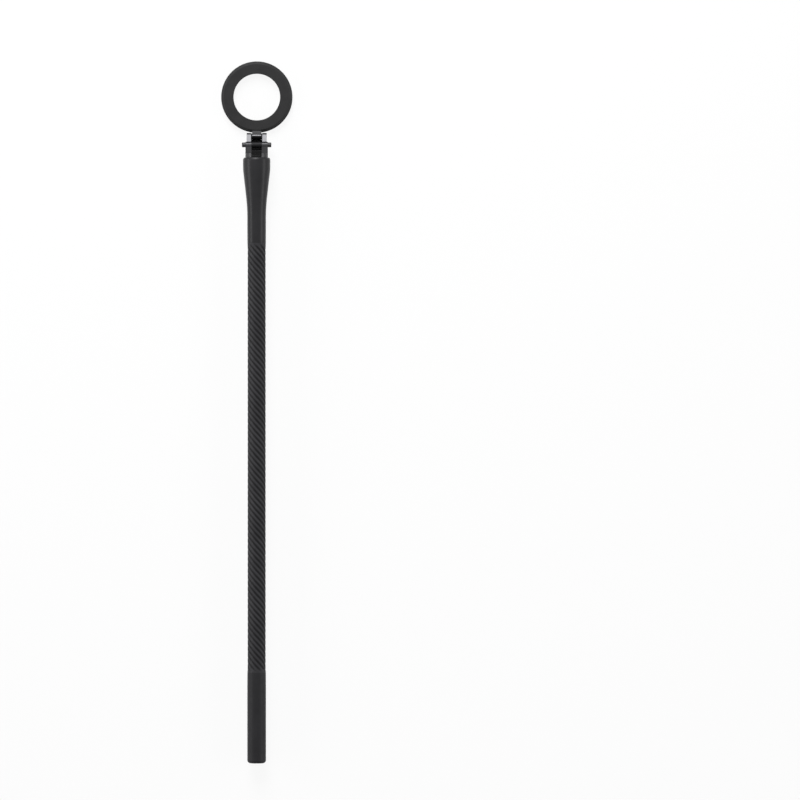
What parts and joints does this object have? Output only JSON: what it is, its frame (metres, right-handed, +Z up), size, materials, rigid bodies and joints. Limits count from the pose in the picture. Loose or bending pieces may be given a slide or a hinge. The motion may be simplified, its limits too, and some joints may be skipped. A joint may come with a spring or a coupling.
{
  "type": "phone gooseneck holder",
  "caption": "Bendable phone holder: a magnetic ring on a folding two-pin head, carried by a long soft neck with spiral ribs, with a flared boot at the head and a plain tail.",
  "frame": {"origin": "middle of the whole part's box, on the floor it lies on", "axes": "+Y along the neck from the tail to the ring, +Z up, away from the phone's side, +X across"},
  "size_m": [0.0564, 0.5562, 0.0216],
  "materials": {
    "ring_plastic": "fine satin black",
    "soft_face": "soft matt black",
    "magnet_plate": "nickel plated",
    "satin_metal": "dark satin, bead blasted",
    "steel": "turned",
    "black_steel": "blackened",
    "black_anodised": "black anodised satin",
    "core_metal": "as drawn",
    "silicone": "matt black silicone"
  },
  "bodies": {
    "tail": {"tail_plug": "core_metal", "tail_boot": "silicone", "tail_insert": "steel", "neck_sleeve": "silicone"},
    "link_01": {"neck_link_01": "core_metal"},
    "link_02": {"neck_link_02": "core_metal"},
    "link_03": {"neck_link_03": "core_metal"},
    "link_04": {"neck_link_04": "core_metal"},
    "link_05": {"neck_link_05": "core_metal"},
    "link_06": {"neck_link_06": "core_metal"},
    "link_07": {"neck_link_07": "core_metal"},
    "link_08": {"neck_link_08": "core_metal"},
    "link_09": {"neck_link_09": "core_metal"},
    "link_10": {"neck_link_10": "core_metal"},
    "link_11": {"neck_link_11": "core_metal"},
    "link_12": {"neck_link_12": "core_metal"},
    "link_13": {"neck_link_13": "core_metal"},
    "link_14": {"neck_link_14": "core_metal"},
    "link_15": {"neck_link_15": "core_metal"},
    "head": {"neck_fork": "black_anodised", "flare_boot": "silicone", "fork_bolt": "black_steel", "fork_nut": "black_steel"},
    "hinge": {"hinge_link": "satin_metal", "ring_pin": "steel", "ring_washers": "ring_plastic"},
    "ring": {"ring_cover": "ring_plastic", "ring_lug": "satin_metal", "ring_magnets": "magnet_plate", "ring_pad": "soft_face"}
  },
  "joints": [
    {"name": "neck_swing_01", "type": "hinge", "parent": "tail", "child": "link_01", "pos_m": [0, -0.19548, 0.0108], "axis": [0, 0, 1], "range_deg": [-19.94, 19.94], "deforming": ["neck_sleeve"]},
    {"name": "neck_tilt_01", "type": "hinge", "parent": "link_01", "child": "link_02", "pos_m": [0, -0.17423, 0.0108], "axis": [1, 0, 0], "range_deg": [-19.94, 19.94], "deforming": ["neck_sleeve"]},
    {"name": "neck_swing_02", "type": "hinge", "parent": "link_02", "child": "link_03", "pos_m": [0, -0.15298, 0.0108], "axis": [0, 0, 1], "range_deg": [-19.94, 19.94], "deforming": ["neck_sleeve"]},
    {"name": "neck_tilt_02", "type": "hinge", "parent": "link_03", "child": "link_04", "pos_m": [0, -0.13173, 0.0108], "axis": [1, 0, 0], "range_deg": [-19.94, 19.94], "deforming": ["neck_sleeve"]},
    {"name": "neck_swing_03", "type": "hinge", "parent": "link_04", "child": "link_05", "pos_m": [0, -0.11048, 0.0108], "axis": [0, 0, 1], "range_deg": [-19.94, 19.94], "deforming": ["neck_sleeve"]},
    {"name": "neck_tilt_03", "type": "hinge", "parent": "link_05", "child": "link_06", "pos_m": [0, -0.08923, 0.0108], "axis": [1, 0, 0], "range_deg": [-19.94, 19.94], "deforming": ["neck_sleeve"]},
    {"name": "neck_swing_04", "type": "hinge", "parent": "link_06", "child": "link_07", "pos_m": [0, -0.06798, 0.0108], "axis": [0, 0, 1], "range_deg": [-19.94, 19.94], "deforming": ["neck_sleeve"]},
    {"name": "neck_tilt_04", "type": "hinge", "parent": "link_07", "child": "link_08", "pos_m": [0, -0.04673, 0.0108], "axis": [1, 0, 0], "range_deg": [-19.94, 19.94], "deforming": ["neck_sleeve"]},
    {"name": "neck_swing_05", "type": "hinge", "parent": "link_08", "child": "link_09", "pos_m": [0, -0.02548, 0.0108], "axis": [0, 0, 1], "range_deg": [-19.94, 19.94], "deforming": ["neck_sleeve"]},
    {"name": "neck_tilt_05", "type": "hinge", "parent": "link_09", "child": "link_10", "pos_m": [0, -0.00423, 0.0108], "axis": [1, 0, 0], "range_deg": [-19.94, 19.94], "deforming": ["neck_sleeve"]},
    {"name": "neck_swing_06", "type": "hinge", "parent": "link_10", "child": "link_11", "pos_m": [0, 0.01702, 0.0108], "axis": [0, 0, 1], "range_deg": [-19.94, 19.94], "deforming": ["neck_sleeve"]},
    {"name": "neck_tilt_06", "type": "hinge", "parent": "link_11", "child": "link_12", "pos_m": [0, 0.03827, 0.0108], "axis": [1, 0, 0], "range_deg": [-19.94, 19.94], "deforming": ["neck_sleeve"]},
    {"name": "neck_swing_07", "type": "hinge", "parent": "link_12", "child": "link_13", "pos_m": [0, 0.05952, 0.0108], "axis": [0, 0, 1], "range_deg": [-19.94, 19.94], "deforming": ["neck_sleeve"]},
    {"name": "neck_tilt_07", "type": "hinge", "parent": "link_13", "child": "link_14", "pos_m": [0, 0.08077, 0.0108], "axis": [1, 0, 0], "range_deg": [-19.94, 19.94], "deforming": ["neck_sleeve"]},
    {"name": "neck_swing_08", "type": "hinge", "parent": "link_14", "child": "link_15", "pos_m": [0, 0.10202, 0.0108], "axis": [0, 0, 1], "range_deg": [-19.94, 19.94], "deforming": ["neck_sleeve"]},
    {"name": "neck_tilt_08", "type": "hinge", "parent": "link_15", "child": "head", "pos_m": [0, 0.12327, 0.0108], "axis": [1, 0, 0], "range_deg": [-19.94, 19.94], "deforming": ["neck_sleeve"]},
    {"name": "link_fold", "type": "hinge", "parent": "head", "child": "hinge", "pos_m": [0, 0.2117, 0.0108], "axis": [1, 0, 0], "range_deg": [-45, 90]},
    {"name": "ring_fold", "type": "hinge", "parent": "hinge", "child": "ring", "pos_m": [0, 0.2184, 0.00767], "axis": [1, 0, 0], "range_deg": [-50, 75]}
  ]
}
